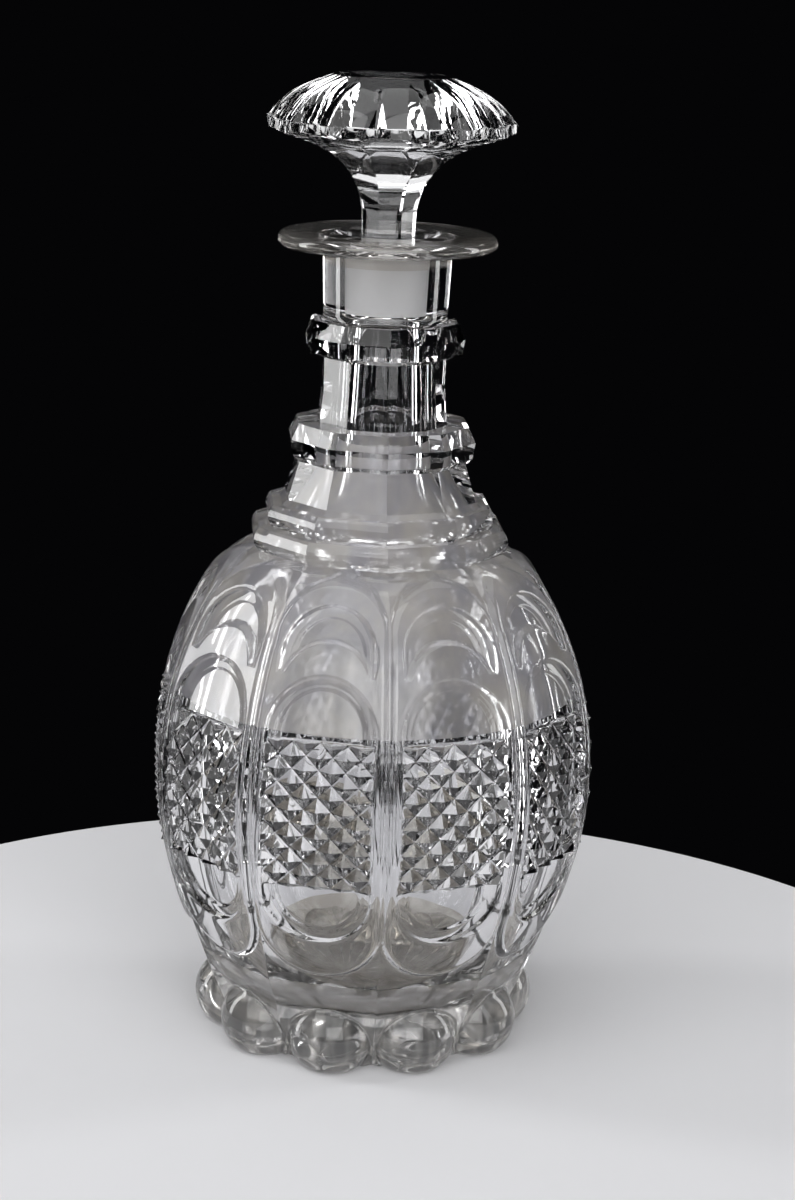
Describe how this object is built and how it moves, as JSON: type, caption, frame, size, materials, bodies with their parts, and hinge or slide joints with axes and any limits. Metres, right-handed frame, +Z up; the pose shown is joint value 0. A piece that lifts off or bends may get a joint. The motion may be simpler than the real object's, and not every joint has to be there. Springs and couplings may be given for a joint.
{
  "type": "decanter",
  "caption": "Cut crystal carafe with petal foot, diamond-cut arched panels, ringed neck, flat lip and a lift-out fluted mushroom stopper.",
  "frame": {"origin": "on the table under the axis of the bottle", "axes": "+Z up along the axis of the bottle and its neck, -Y towards the front, where one of the ten ribs stands"},
  "size_m": [0.1224, 0.1258, 0.2697],
  "materials": {
    "crystal": "polished cut crystal, with a ground and frosted peg"
  },
  "bodies": {
    "bottle": {"bottle": "crystal"},
    "stopper": {"stopper": "crystal"}
  },
  "joints": [
    {"name": "stopper_lift", "type": "slide", "parent": "bottle", "child": "stopper", "axis": [0, 0, 1], "range_m": [0, 0.05]}
  ]
}
